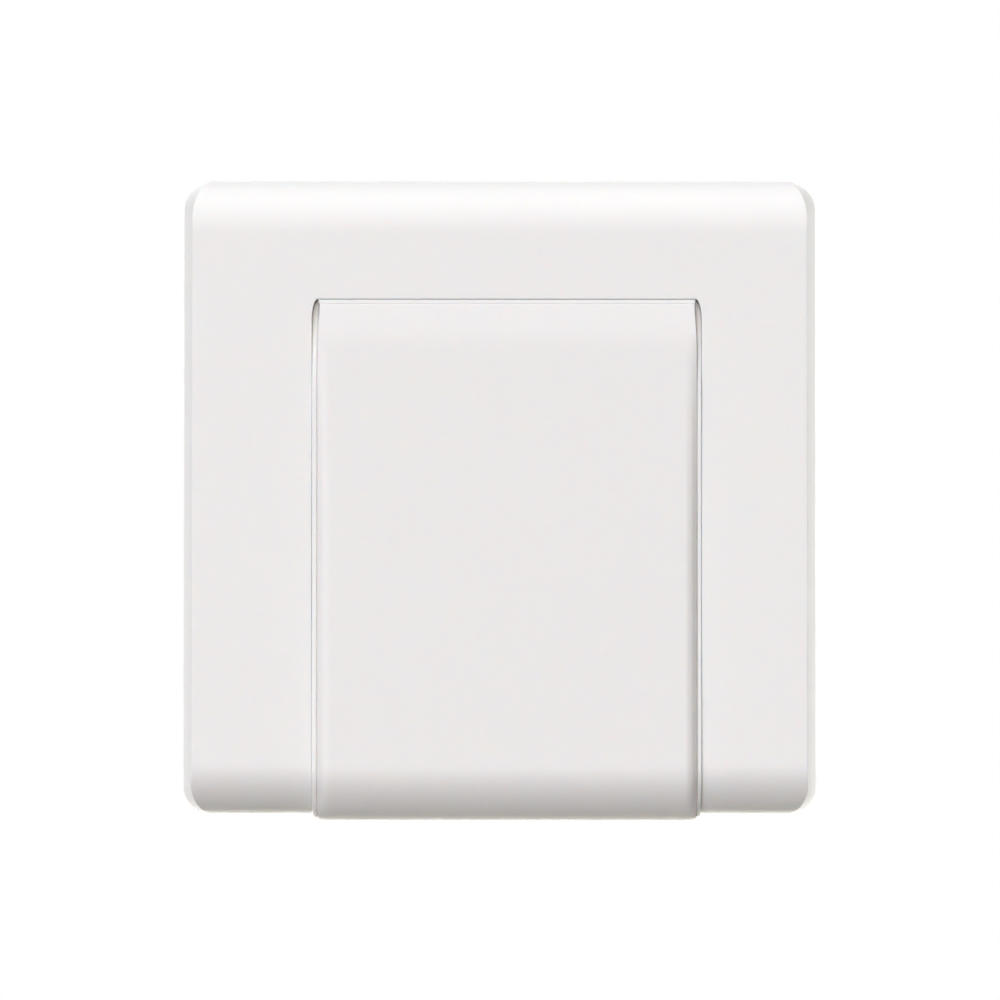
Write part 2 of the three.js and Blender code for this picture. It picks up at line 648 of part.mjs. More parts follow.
// (radius, y), front to back
const PLUNGER_PROFILE = [
  [0, 2.6], [0.55, 2.6], [0.75, 2.9], [0.75, 4.05], [PLUNGER_R, 4.05],
  [PLUNGER_R, PLUNGER_TIP_Y],
  ...arc(0, PLUNGER_TIP_Y, PLUNGER_R, PLUNGER_R, 15, 75, 4),
  [0, PLUNGER_TIP_Y + PLUNGER_R],
];

class Coil extends THREE.Curve {
  getPoint(t, target = new THREE.Vector3()) {
    const { radius, from, to, turns } = SPRING;
    const angle = 2 * Math.PI * turns * t;
    // the end coils lie closer together than the middle ones
    const lift = t - (Math.sin(2 * Math.PI * t) / (2 * Math.PI)) * 0.45;
    return target.set(
      radius * Math.cos(angle),
      from + (to - from) * lift,
      radius * Math.sin(angle),
    );
  }
}
const plungerSpring = () =>
  solid(
    new THREE.ExtrudeGeometry(shapeOf(arc(0, 0, SPRING.wireR, SPRING.wireR, 0, 315, 7)), {
      steps: 96,
      bevelEnabled: false,
      extrudePath: new Coil(),
    }),
  );

// ------------------------------------------------------------------ contact lever
const LEVER = { halfX: 3, halfZ: 13.2, radius: 1.4, front: -1 };
const LEVER_NOTCH = { x: [2, 4], halfZ: 0.95 }; // for the saddle's prongs
const LEVER_HOLE_R = 0.85;
// (radius, y), front to back
const MOVING_CONTACT_PROFILE = [
  [0, -1.5], [0.9, -1.45], [1.2, -1.25], [1.2, -1.12], [0.7, -1.12], [0.7, 0.12],
  [1.6, 0.12], [1.6, 0.6], [1.1, 0.82], [0.55, 0.95], [0, 1.0],
];

function contactLever() {
  const { halfX, halfZ, radius, front } = LEVER;
  let made = alongY(centredRect(halfX, halfZ, radius, 4), front, 0);
  for (const side of SIDES) {
    const notchX = LEVER_NOTCH.x.map((x) => side * x);
    made = made
      .subtract(box(...notchX, -3, 3, -LEVER_NOTCH.halfZ, LEVER_NOTCH.halfZ))
      .subtract(rodY(LEVER_HOLE_R, -3, 3, 0, side * MOVING_CONTACT_Z, 20));
  }
  return made;
}

// ------------------------------------------------------------------ assembly
function piece(parent, name, made, finish, [x, y, z] = [0, 0, 0]) {
  const mesh = new THREE.Mesh(geometryOf(made), new THREE.MeshStandardMaterial(finish));
  mesh.name = name;
  mesh.position.set(x, y, z);
  parent.add(mesh);
}
function subgroup(parent, name, [x, y, z], tiltDeg = 0) {
  const made = new THREE.Group();
  made.name = name;
  made.position.set(x, y, z);
  made.rotation.x = radians(tiltDeg);
  parent.add(made);
  return made;
}

const group = new THREE.Group();
group.name = "rocker_wall_switch";
piece(group, "front_plate", frontPlate(), FINISH.plate);
piece(group, "mounting_frame", mountingFrame(), FINISH.frame);
for (const [name, side] of [["left", -1], ["right", 1]])
  piece(group, "wall_screw_" + name, wallScrew(), FINISH.wallScrew, [
    (side * SCREW_PITCH) / 2,
    0,
    0,
  ]);

const mechanism = subgroup(group, "mechanism", [CENTRE_X, 0, HINGE_Z]);
piece(mechanism, "mechanism_housing", mechanismHousing(), FINISH.housing);
piece(mechanism, "mechanism_cover", mechanismCover(), FINISH.cover);
piece(mechanism, "common_terminal", commonTerminal(), FINISH.strip);
const LEVELS = [["upper", 1], ["lower", -1]];
for (const [name, side] of LEVELS) {
  piece(mechanism, name + "_contact_terminal", contactTerminal(side), FINISH.strip);
  const contact = turned(FIXED_CONTACT_PROFILE, 20);
  const place = [0, 0, side * FIXED_CONTACT_Z];
  piece(mechanism, name + "_fixed_contact", contact, FINISH.contact, place);
}
for (const [name, { side, z }] of Object.entries(TERMINALS)) {
  const place = [side * TERMINAL_X, 0, z];
  piece(mechanism, name + "_terminal_screw", terminalScrew(), FINISH.terminalScrew, place);
  piece(mechanism, name + "_wire_clamp", wireClamp(), FINISH.wireClamp, place);
}

const rocker = subgroup(group, "rocker", [CENTRE_X, 0, HINGE_Z]);
piece(rocker, "rocker_key", rockerKey(), FINISH.key);
piece(rocker, "rocker_carrier", rockerCarrier(), FINISH.carrier);
const stem = subgroup(rocker, "stem", [0, HINGE_Y, 0], STEM_TILT);
piece(stem, "plunger_spring", plungerSpring(), FINISH.spring);
piece(stem, "plunger", turned(PLUNGER_PROFILE, 24), FINISH.plunger);

const lever = subgroup(group, "lever", [CENTRE_X, LEVER_Y, HINGE_Z], LEVER_TILT);
piece(lever, "contact_lever", contactLever(), FINISH.lever);
for (const [name, side] of LEVELS) {
  const contact = turned(MOVING_CONTACT_PROFILE, 20);
  const place = [0, 0, side * MOVING_CONTACT_Z];
  piece(lever, name + "_moving_contact", contact, FINISH.contact, place);
}

export default group;
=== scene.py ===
"""A rocker light switch: a square front plate, the rocker key in its opening, two wall screws,
and the mechanism behind, which keeps its CAD solids.

x runs to the right, z up, and the front faces -y. The plate is centred on x = z = 0 and its
rear rim lies at y = 0. Shapes are drawn in millimetres and stored in metres.
"""

import json
import math

import bmesh
import bpy
from mathutils import Matrix, Vector

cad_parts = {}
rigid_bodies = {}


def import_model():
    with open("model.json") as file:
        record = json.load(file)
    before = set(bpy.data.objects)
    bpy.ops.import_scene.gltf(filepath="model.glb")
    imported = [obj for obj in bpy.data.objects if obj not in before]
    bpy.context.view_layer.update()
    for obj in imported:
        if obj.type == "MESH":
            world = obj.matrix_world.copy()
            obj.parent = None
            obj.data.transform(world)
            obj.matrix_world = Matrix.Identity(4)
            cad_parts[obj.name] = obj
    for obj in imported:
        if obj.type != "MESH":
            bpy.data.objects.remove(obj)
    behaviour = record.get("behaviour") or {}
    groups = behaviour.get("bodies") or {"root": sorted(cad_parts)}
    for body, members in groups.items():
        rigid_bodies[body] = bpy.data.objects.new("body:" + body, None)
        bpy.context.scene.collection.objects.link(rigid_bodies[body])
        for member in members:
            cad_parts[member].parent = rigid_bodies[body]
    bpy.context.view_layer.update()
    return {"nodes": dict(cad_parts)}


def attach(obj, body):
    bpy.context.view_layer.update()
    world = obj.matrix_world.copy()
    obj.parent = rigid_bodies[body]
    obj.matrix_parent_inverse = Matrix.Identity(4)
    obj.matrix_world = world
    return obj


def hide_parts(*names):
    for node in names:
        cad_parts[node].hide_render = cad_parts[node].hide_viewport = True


for old in list(bpy.data.objects):
    bpy.data.objects.remove(old)
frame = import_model()
NODES = frame["nodes"]
scene = bpy.context.scene

# ------------------------------------------------------------------ front plate sizes, mm
HALF, FRONT_HALF = 43.0, 41.5  # half width at the rear rim and at the front
FRONT = -8.4  # y of the flat front
DRAFT = (HALF - FRONT_HALF) / HALF / -FRONT
WALL = 2.0
ROLL_TOP, ROLL_BOTTOM = 7.4, 6.7  # radii of the rolls from the front to the top and bottom edges
TOP_BREAK = 3.4  # distance below the top at which the top roll's rows change spacing
CORNER_TOP = (3.9, 5.9)  # corner radius at the rear rim and at the front
CORNER_BOTTOM = (3.6, 4.4)
CX, CZ = 0.95, -8.7  # centre of the opening in x, and of the key's fittings in z
OPEN_HALF, OPEN_TOP = 26.3, 26.46
OPEN_CORNER = (0.8, 2.7)  # half axes of the elliptical corners, in x and z
CREASE_FILLET = 0.07
OPEN_FILLET, OPEN_FILLET_TOP = 0.08, 0.14
FILLET_STEPS = 4
COLLAR_WALL, COLLAR_BACK = 1.2, -4.6  # collar round the opening: thickness and rear y
CHEEK_Z = -39.4  # below this the collar reaches back to y = 0, as a cheek

OUTER_STEPS, INNER_STEPS = 16, 8  # rows of a roll, beyond its break and up to the flat front
TOP_ROWS = LEG_ROWS = OUTER_STEPS + INNER_STEPS + 1
CHEEK = INNER_STEPS  # the leg row that lies at CHEEK_Z
CORNER_STEPS = 12
STATIONS = 2 * (LEG_ROWS + CORNER_STEPS + 1)
RIGHT_LEG = STATIONS - LEG_ROWS  # first station of the right leg

TIE_HALF = 26.9
TIE_Y, TIE_BOTTOM = (-1.2, -0.03), -41.6
HOOK_Z, HOOK_HALF = 22, 3
# hook section: x outwards, y
PLATE_HOOK = [
    (33.6, -6.8), (33.6, 1.9), (34.4, 1.9), (35.8, 1.0), (35.9, 0.85),
    (35.9, 0.35), (35.8, 0.3), (35.0, 0.25), (35.0, -6.8),
]

# ------------------------------------------------------------------ rocker key sizes, mm
KEY_HALF, KEY_TOP = 26.15, 26.32  # the flange behind the border
KEY_FRONT = -9.5  # y of the face at z = CZ
LEAN = math.radians(0.75)
GAP_SIDE, GAP_TOP = 0.022, 0.015  # between the key's border and the opening
BORDER_HALF, BORDER_TOP = OPEN_HALF - GAP_SIDE, OPEN_TOP - GAP_TOP
KEY_CURVE_Z, KEY_CREASE = 19.9, 25.8
KEY_EASE, KEY_SLOPE = 2.6, 0.14  # the face eases over, then falls away evenly to its top edge
KEY_ROLL, KEY_ROLL_Z = 7.3, -36.66  # radius and centre height of the roll at the foot
ROLL_STATIONS, CURVE_STEPS = 27, 12
FACE_STATIONS = [-28, -20, -14, -9, -6, -3, 0, 3, 6, 9, 12, 15, 18, KEY_CURVE_Z]
KEY_BACK, LIP_BACK = -5.0, -3.7
LEDGE, MIN_DEPTH = 0.55, 0.6  # ledge and least rear edge of the side walls, behind the border
KEY_WALL, KEY_SIDE_WALL, KEY_TOP_WALL = 1.45, 1.3, 1.4

# edge section from the outside in: border band, narrow groove, soft shoulder up to the face
BORDER = 0.57  # width of the border band
BORDER_DROP = 0.17  # the band lies this far below the shoulder's foot
BORDER_TILT, BORDER_TILT_TOP = math.radians(-3), math.radians(2)
GROOVE, GROOVE_TOP = 0.22, 0.07  # depth, along the sides and along the top edge
GROOVE_IN = 0.74  # inner edge of the groove, from the border's outer edge
SHOULDER = 1.42  # the steeper part of the shoulder ends here
SHOULDER_TOP = 2.35  # and the face starts here
SHOULDER_SLOPE = 0.577
SHOULDER_STOPS = (0.82, 1.02, 1.22, 1.28, 1.35, 1.42, 1.55, 1.71, 1.87, 2.03, 2.19, 2.35)

# how the section changes with height
FADE_Z, FADE_RUN = 20.9, 29.5  # the shoulder fades out at FADE_Z
SPREAD_Z = 12.0  # above this the stations spread out to reach the top border
NARROW_Z, NARROWING = 19.0, 0.25  # the groove bends inwards above this
GROOVE_SHIFT = 0.06  # the groove lies this much further right on both sides
SINK = 1.6  # how far the border sinks at the top corners
SINK_Z, SINK_RUN = 11.0, 14.0
FOOT_DROP, FOOT_RUN = 4.2, 3.1  # the edge is rounded over from here down the roll
END_STEP = 0.03  # between the sunken end of the sides and the top edge

PAD_X, PAD_RADIUS, PAD_SIDES = 5, 1.6, 24
PAD_Y = (-8.3, -5.0)
CLIP_Z, CLIP_HALF = 8, 2
# clip section: x outwards from CX, y
KEY_CLIP = [
    (12.3, -8.3), (13.5, -8.3), (13.5, -2.75), (12.4, -2.75),
    (11.6, -3.15), (11.6, -3.35), (12.3, -3.35),
]
RIB_X, RIB_HALF = 19, 0.5
RIB_Y, RIB_Z = (-8.2, -6.4), (CZ - 28, CZ + 27)

# ------------------------------------------------------------------ wall screw sizes, mm
SCREW_X, SCREW_SIDES = 30.15, 32
PITCH, MAJOR, MINOR = 0.7, 1.95, 1.62
THREAD_START, THREAD_END = 0.8, 20.7
# cross recess: radius between the arms, radius at the arms, y
RECESS = [(0.5, 1.5, -2.55), (0.62, 2.05, -4.0)]
# head and shank, then tip: radius, y
HEAD = [
    (2.3, -3.93), (2.8, -3.75), (3.2, -3.45), (3.42, -3.15), (3.5, -2.9), (3.5, -1.95),
    (3.42, -1.8), (3.3, -1.75), (2.1, -1.75), (1.95, -1.6), (1.95, 0.6),
]
TIP = [(1.5, 21.1), (1.3, 21.6)]


# ------------------------------------------------------------------ shader helpers
def empty_tree(owner):
    owner.use_nodes = True
    tree = owner.node_tree
    for node in list(tree.nodes):
        tree.nodes.remove(node)
    return tree


def new_material(name):
    mat = bpy.data.materials.new(name)
    tree = empty_tree(mat)
    output = tree.nodes.new("ShaderNodeOutputMaterial")
    shader = tree.nodes.new("ShaderNodeBsdfPrincipled")
    tree.links.new(shader.outputs["BSDF"], output.inputs["Surface"])
    return mat, tree, shader


def noise(tree, vector, scale, detail=3.0, rough=0.55):
    node = tree.nodes.new("ShaderNodeTexNoise")
    node.inputs["Scale"].default_value = scale
    node.inputs["Detail"].default_value = detail
    node.inputs["Roughness"].default_value = rough
    tree.links.new(vector, node.inputs["Vector"])
    return node.outputs["Fac"]


def ramp(tree, value, low, high, start=0.3, end=0.7):
    """map start..end to low..high"""
    node = tree.nodes.new("ShaderNodeMapRange")
    node.inputs["From Min"].default_value = start
    node.inputs["From Max"].default_value = end
    node.inputs["To Min"].default_value = low
    node.inputs["To Max"].default_value = high
    tree.links.new(value, node.inputs["Value"])
    return node.outputs["Result"]


def mix(tree, factor, color_a, color_b):
    node = tree.nodes.new("ShaderNodeMix")
    node.data_type = "RGBA"
    node.inputs["A"].default_value = (*color_a, 1)
    node.inputs["B"].default_value = (*color_b, 1)
    tree.links.new(factor, node.inputs["Factor"])
    return node.outputs["Result"]


def lighten_edges(tree, shader, toned, color, gain, full):
    """base colour, lighter on convex edges; returns the edge mask, which is 1 at pointiness full"""
    geometry = tree.nodes.new("ShaderNodeNewGeometry")
    edge = ramp(tree, geometry.outputs["Pointiness"], 0.0, 1.0, start=0.52, end=full)
    node = tree.nodes.new("ShaderNodeMix")
    node.data_type = "RGBA"
    node.inputs["B"].default_value = (*[min(1.0, c * gain) for c in color], 1)
    tree.links.new(edge, node.inputs["Factor"])
    tree.links.new(toned, node.inputs["A"])
    tree.links.new(node.outputs["Result"], shader.inputs["Base Color"])
    return edge


def add_bump(tree, shader, height, strength, distance):
    bump = tree.nodes.new("ShaderNodeBump")
    bump.inputs["Strength"].default_value = strength
    bump.inputs["Distance"].default_value = distance
    tree.links.new(height, bump.inputs["Height"])
    tree.links.new(bump.outputs["Normal"], shader.inputs["Normal"])


# ------------------------------------------------------------------ materials
def plastic(name, color, roughness, grain=0.15, ior=1.5, spread=0.02):
    """moulded plastic: fine grain, faint variation in tone and gloss, edges rubbed smoother"""
    mat, tree, shader = new_material(name)
    place = tree.nodes.new("ShaderNodeTexCoord").outputs["Object"]
    flow = noise(tree, place, scale=35.0, detail=2.0)
    fine = noise(tree, place, scale=5200.0, detail=3.0, rough=0.6)
    patches = noise(tree, place, scale=900.0, detail=2.0)
    dark = tuple(c * (1 - spread) for c in color)
    light = tuple(min(1.0, c * (1 + spread)) for c in color)
    toned = mix(tree, ramp(tree, flow, 0, 1), dark, light)
    edge = lighten_edges(tree, shader, toned, color, gain=1.015, full=0.62)
    base = ramp(tree, patches, low=roughness - 0.03, high=roughness + 0.03)
    rubbed = tree.nodes.new("ShaderNodeMath")
    rubbed.operation = "MULTIPLY_ADD"
    rubbed.inputs[1].default_value = -0.05  # change of roughness on edges
    tree.links.new(edge, rubbed.inputs[0])
    tree.links.new(base, rubbed.inputs[2])
    tree.links.new(rubbed.outputs["Value"], shader.inputs["Roughness"])
    shader.inputs["IOR"].default_value = ior
    add_bump(tree, shader, fine, strength=grain, distance=0.00004)
    return mat


def metal(name, color, roughness, brushed=(1, 1, 1), tarnish=0.2):
    """plated or rolled metal: drawing marks, patches of dull oxide, brighter edges"""
    mat, tree, shader = new_material(name)
    place = tree.nodes.new("ShaderNodeTexCoord").outputs["Object"]
    mapping = tree.nodes.new("ShaderNodeMapping")
    mapping.inputs["Scale"].default_value = brushed
    tree.links.new(place, mapping.inputs["Vector"])
    marks = noise(tree, mapping.outputs["Vector"], scale=1800.0, detail=4.0, rough=0.6)
    spots = noise(tree, place, scale=240.0, detail=3.0)
    dull = tuple(c * (1 - tarnish) for c in color)
    toned = mix(tree, ramp(tree, spots, 0, 1, start=0.35, end=0.75), color, dull)
    lighten_edges(tree, shader, toned, color, gain=1.12, full=0.6)
    rough = ramp(tree, marks, low=roughness - 0.06, high=roughness + 0.1)
    tree.links.new(rough, shader.inputs["Roughness"])
    shader.inputs["Metallic"].default_value = 1.0
    add_bump(tree, shader, marks, strength=0.12, distance=0.00003)
    return mat


def make_translucent(mat):
    """light enters white plastic a little way, red the furthest"""
    shader = next(n for n in mat.node_tree.nodes if n.type == "BSDF_PRINCIPLED")
    shader.inputs["Subsurface Weight"].default_value = 0.6
    shader.inputs["Subsurface Radius"].default_value = (1.0, 0.75, 0.55)
    shader.inputs["Subsurface Scale"].default_value = 0.0006


WHITE = dict(roughness=0.42, grain=0.012, ior=1.46, spread=0.0015)
PLASTICS = {
    "plate_plastic": dict(color=(0.881, 0.849, 0.819), **WHITE),
    "key_plastic": dict(color=(0.867, 0.834, 0.8055), **WHITE),
    "frame_plastic": dict(color=(0.52, 0.515, 0.50), roughness=0.5),
    "housing_plastic": dict(color=(0.58, 0.57, 0.545), roughness=0.48),
    "cover_plastic": dict(color=(0.50, 0.50, 0.49), roughness=0.45),
    "carrier_plastic": dict(color=(0.80, 0.79, 0.76), roughness=0.4, grain=0.12),
    "plunger_plastic": dict(color=(0.55, 0.56, 0.58), roughness=0.32, grain=0.08),
}
METALS = {
    "terminal_brass": dict(color=(0.80, 0.60, 0.27), roughness=0.32, brushed=(1, 1, 6)),
    "lever_bronze": dict(color=(0.72, 0.47, 0.28), roughness=0.33, brushed=(6, 1, 1)),
    "contact_silver": dict(color=(0.86, 0.85, 0.82), roughness=0.25, tarnish=0.12),
    "screw_steel": dict(
        color=(0.43, 0.435, 0.45), roughness=0.3, brushed=(1, 5, 1), tarnish=0.15
    ),
    "clamp_steel": dict(color=(0.60, 0.61, 0.63), roughness=0.38, brushed=(1, 1, 5)),
    "spring_steel": dict(color=(0.58, 0.58, 0.60), roughness=0.25, tarnish=0.15),
}
MATS = {name: plastic(name, **settings) for name, settings in PLASTICS.items()}
MATS.update({name: metal(name, **settings) for name, settings in METALS.items()})
for name in ("plate_plastic", "key_plastic"):
    make_translucent(MATS[name])


# ------------------------------------------------------------------ mesh helpers
def add_object(name, data):
    obj = bpy.data.objects.new(name, data)
    scene.collection.objects.link(obj)
    return obj


def weight_normals(obj, keep_sharp):
    normals = obj.modifiers.new("normals", "WEIGHTED_NORMAL")
    normals.mode = "FACE_AREA"
    normals.weight = 50
    normals.keep_sharp = keep_sharp


class Shape:
    """Faces given by their corner points in millimetres; points that coincide are one vertex."""

    def __init__(self):
        self.points, self.index, self.faces = [], {}, []

    def vertex(self, point):
        key = tuple(int(round(c * 5000)) for c in point)
        if key not in self.index:
            self.index[key] = len(self.points)
            self.points.append(tuple(c * 0.001 for c in point))
        return self.index[key]

    def face(self, corners):
        """Repeated corners are merged; a face that collapses or touches itself is left out."""
        ids = []
        for corner in corners:
            i = self.vertex(corner)
            if not ids or ids[-1] != i:
                ids.append(i)
        while len(ids) > 1 and ids[0] == ids[-1]:
            ids.pop()
        if len(ids) >= 3 and len(set(ids)) == len(ids):
            self.faces.append(ids)

    def grid(self, rows):
        for row, after in zip(rows, rows[1:]):
            for i in range(len(row) - 1):
                self.face([row[i], row[i + 1], after[i + 1], after[i]])

    def prism(self, outline, axis, low, high):
        """outline in the two other axes, drawn out along axis."""
        place = "xyz".index(axis)

        def at(point, along):
            return (*point[:place], along, *point[place:])

        self.face([at(p, low) for p in outline])
        self.face([at(p, high) for p in outline])
        for p, q in zip(outline, outline[1:] + outline[:1]):
            self.face([at(p, low), at(q, low), at(q, high), at(p, high)])

    def chamfered_box(self, x0, x1, y_range, z_range, cut):
        """box with its four edges along x chamfered."""
        y0, y1 = y_range
        z0, z1 = z_range
        outline = [
            (y0 + cut, z0), (y1 - cut, z0), (y1, z0 + cut), (y1, z1 - cut),
            (y1 - cut, z1), (y0 + cut, z1), (y0, z1 - cut), (y0, z0 + cut),
        ]
        self.prism(outline, "x", x0, x1)

    def build(self, name, body, node, look, sharp=38):
        """smooth-shaded object riding on body in place of node; edges over sharp degrees stay"""
        mesh = bpy.data.meshes.new(name)
        mesh.from_pydata(self.points, [], self.faces)
        bm = bmesh.new()
        bm.from_mesh(mesh)
        bmesh.ops.recalc_face_normals(bm, faces=bm.faces)
        bm.to_mesh(mesh)
        bm.free()
        mesh.polygons.foreach_set("use_smooth", [True] * len(mesh.polygons))
        mesh.set_sharp_from_angle(angle=math.radians(sharp))
        obj = add_object(name, mesh)
        weight_normals(obj, keep_sharp=True)
        mesh.materials.append(MATS[look])
        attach(obj, body)
        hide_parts(node)


def bezier(start, corner, end):
    """points from start to end round the corner."""
    points = []
    for i in range(FILLET_STEPS + 1):
        t = i / FILLET_STEPS
        points.append(
            tuple(
                (1 - t) ** 2 * p + 2 * t * (1 - t) * q + t * t * r
                for p, q, r in zip(start, corner, end)
            )
        )
    return points


def smooth(t):
    t = min(1.0, max(0.0, t))
    return t * t * (3 - 2 * t)


def with_y(point, y):
    return (point[0], y, point[2])


# ------------------------------------------------------------------ front plate
def plate_rows(inset):
    """(z, y of the front) of the skin's slices: TOP_ROWS of the top roll, then LEG_ROWS below."""
    rows = []
    top_y, bottom_y = FRONT + ROLL_TOP, FRONT + ROLL_BOTTOM
    top_r, bottom_r = ROLL_TOP - inset, ROLL_BOTTOM - inset
    top_z, bottom_z = HALF - ROLL_TOP, -HALF + ROLL_BOTTOM
    split = math.degrees(math.asin((HALF - TOP_BREAK - top_z) / top_r))
    angles = [90 - (90 - split) * i / OUTER_STEPS for i in range(OUTER_STEPS)]
    angles += [split * (1 - i / INNER_STEPS) for i in range(INNER_STEPS + 1)]
    for angle in map(math.radians, angles):
        rows.append((top_z + top_r * math.sin(angle), top_y - top_r * math.cos(angle)))
    split = math.degrees(math.asin((bottom_z - CHEEK_Z) / bottom_r))
    angles = [split * i / INNER_STEPS for i in range(INNER_STEPS)]
    angles += [split + (90 - split) * i / OUTER_STEPS for i in range(OUTER_STEPS + 1)]
    for angle in map(math.radians, angles):
        rows.append((bottom_z - bottom_r * math.sin(angle), bottom_y - bottom_r * math.cos(angle)))
    return rows


def half_width(z, y, inset=0.0):
    """the corners are rounder towards the front, most of all the top ones"""
    rim, front = CORNER_TOP if z > 0 else CORNER_BOTTOM
    corner = rim + (front - rim) * min(1.0, y / FRONT)
    radius = corner - inset
    edge = HALF - corner
    over = abs(z) - edge
    half = HALF - inset
    if over > 0:
        half = edge + math.sqrt(max(0.0, radius * radius - over * over))
    return half * (1 + DRAFT * y)


def opening_stations(grow, leg_z):
    """(x, z, nx, nz) from the left foot up, over the top and down: points and outward normals."""
    half_x, half_z = OPEN_CORNER
    left, right = CX - OPEN_HALF, CX + OPEN_HALF
    corner = []
    for i in range(CORNER_STEPS + 1):
        t = math.pi / 2 * i / CORNER_STEPS
        nx, nz = math.cos(t) / half_x, math.sin(t) / half_z
        length = math.hypot(nx, nz)
        corner.append((half_x * math.cos(t), half_z * math.sin(t), nx / length, nz / length))
    points = [(left, z, -1.0, 0.0) for z in reversed(leg_z)]
    for x, z, nx, nz in corner:
        points.append((left + half_x - x, OPEN_TOP - half_z + z, -nx, nz))
    for x, z, nx, nz in reversed(corner):
        points.append((right - half_x + x, OPEN_TOP - half_z + z, nx, nz))
    points += [(right, z, 1.0, 0.0) for z in leg_z]
    return [(x + nx * grow, z + nz * grow, nx, nz) for x, z, nx, nz in points]


def leg_row(station):
    """row of the leg at a station, 0 at the top of the leg; -1 on the way over the top."""
    if station < LEG_ROWS:
        return LEG_ROWS - 1 - station
    return station - RIGHT_LEG if station >= RIGHT_LEG else -1


def leg_station(sign, row):
    return LEG_ROWS - 1 - row if sign < 0 else RIGHT_LEG + row


def outer_side(sign, rows):
    """side wall from the rear rim forwards, with the fillet on to the front"""
    side = []
    for z, y in rows:
        corner = (sign * half_width(z, y), y, z)
        front = (corner[0] - sign * CREASE_FILLET, y, z)
        behind = y + CREASE_FILLET
        wall = (sign * half_width(z, behind), behind, z)
        side.append([(sign * half_width(z, 0), 0, z)] + bezier(wall, corner, front))
    return side


def opening_edge(leg_rows):
    """fillet at each station from the front into the opening, and the opening's rear outline"""
    fillets, rear = [], []
    stations = opening_stations(0, [z for z, _ in leg_rows])
    for i, (x, z, nx, nz) in enumerate(stations):
        row = leg_row(i)
        y = FRONT if row < 0 else leg_rows[row][1]
        fillet = OPEN_FILLET + (OPEN_FILLET_TOP - OPEN_FILLET) * abs(nz) ** 2
        front = (x + nx * fillet, y, z + nz * fillet)
        fillets.append(bezier(front, (x, y, z), (x, y + fillet, z)))
        rear.append((x, 0.0, z))
    return fillets, rear


def opening_wall(shape, fillets, rear):
    for i in range(STATIONS - 1):
        row_a, row_b = leg_row(i), leg_row(i + 1)
        in_cheek = max(row_a, row_b) > CHEEK
        back = 0.0 if in_cheek else COLLAR_BACK
        wall_a, wall_b = (fillets[j] + [with_y(rear[j], back)] for j in (i, i + 1))
        if in_cheek and min(row_a, row_b) == CHEEK:
            # the collar's rear edge meets the wall where the cheek starts
            upper, lower = (wall_a, wall_b) if row_a == CHEEK else (wall_b, wall_a)
            meet = with_y(upper[-1], COLLAR_BACK)
            shape.face([upper[-2], meet, upper[-1], lower[-1], lower[-2]])
            shape.grid([upper[:-1], lower[:-1]])
        else:
            shape.grid([wall_a, wall_b])


def front_face(shape, sides, around):
    """flat part of a skin, round the opening"""
    shape.face(
        [sides[-1][TOP_ROWS - 1][-1], sides[1][TOP_ROWS - 1][-1], sides[1][TOP_ROWS][-1]]
        + [around[i] for i in range(RIGHT_LEG, LEG_ROWS - 2, -1)]
        + [sides[-1][TOP_ROWS][-1]]
    )


def collar_outside(shape, rear, collar):
    """outer wall and rear face of the collar, and the outer walls of the cheeks"""
    for i in range(STATIONS - 1):
        a, b = collar[i], collar[i + 1]
        row_a, row_b = leg_row(i), leg_row(i + 1)
        back_a, back_b = with_y(a, COLLAR_BACK), with_y(b, COLLAR_BACK)
        if max(row_a, row_b) <= CHEEK:
            shape.face([a, b, back_b, back_a])
            edge_a, edge_b = with_y(rear[i], COLLAR_BACK), with_y(rear[i + 1], COLLAR_BACK)
            shape.face([edge_a, edge_b, back_b, back_a])
            continue
        outline = [a, b]
        if row_b == CHEEK:
            outline.append(back_b)
        outline += [with_y(b, 0), with_y(a, 0)]
        if row_a == CHEEK:
            outline.append(back_a)
        shape.face(outline)


def close_leg(shape, sign, outer, inner, fillets, rear, collar):
    """a leg's inner skin, its end, the rear and top of its cheek, and the rear rim on its side"""
    legs = [leg_station(sign, row) for row in range(LEG_ROWS)]
    shape.grid([[inner[TOP_ROWS + row][1], collar[i]] for row, i in enumerate(legs)])
    end = legs[-1]
    shape.face([inner[-1][0], inner[-1][1], collar[end], with_y(collar[end], 0)])
    shape.face([outer[-1][0], rear[end], with_y(collar[end], 0), inner[-1][0]])
    shape.grid([[rear[i], with_y(collar[i], 0)] for i in legs[CHEEK:]])
    start = legs[CHEEK]
    shape.face(
        [
            with_y(rear[start], COLLAR_BACK),
            rear[start],
            with_y(collar[start], 0),
            with_y(collar[start], COLLAR_BACK),
        ]
    )
    shape.face(outer[-1] + fillets[end] + [rear[end]])
    shape.grid([[out[0], ins[0]] for out, ins in zip(outer, inner)])


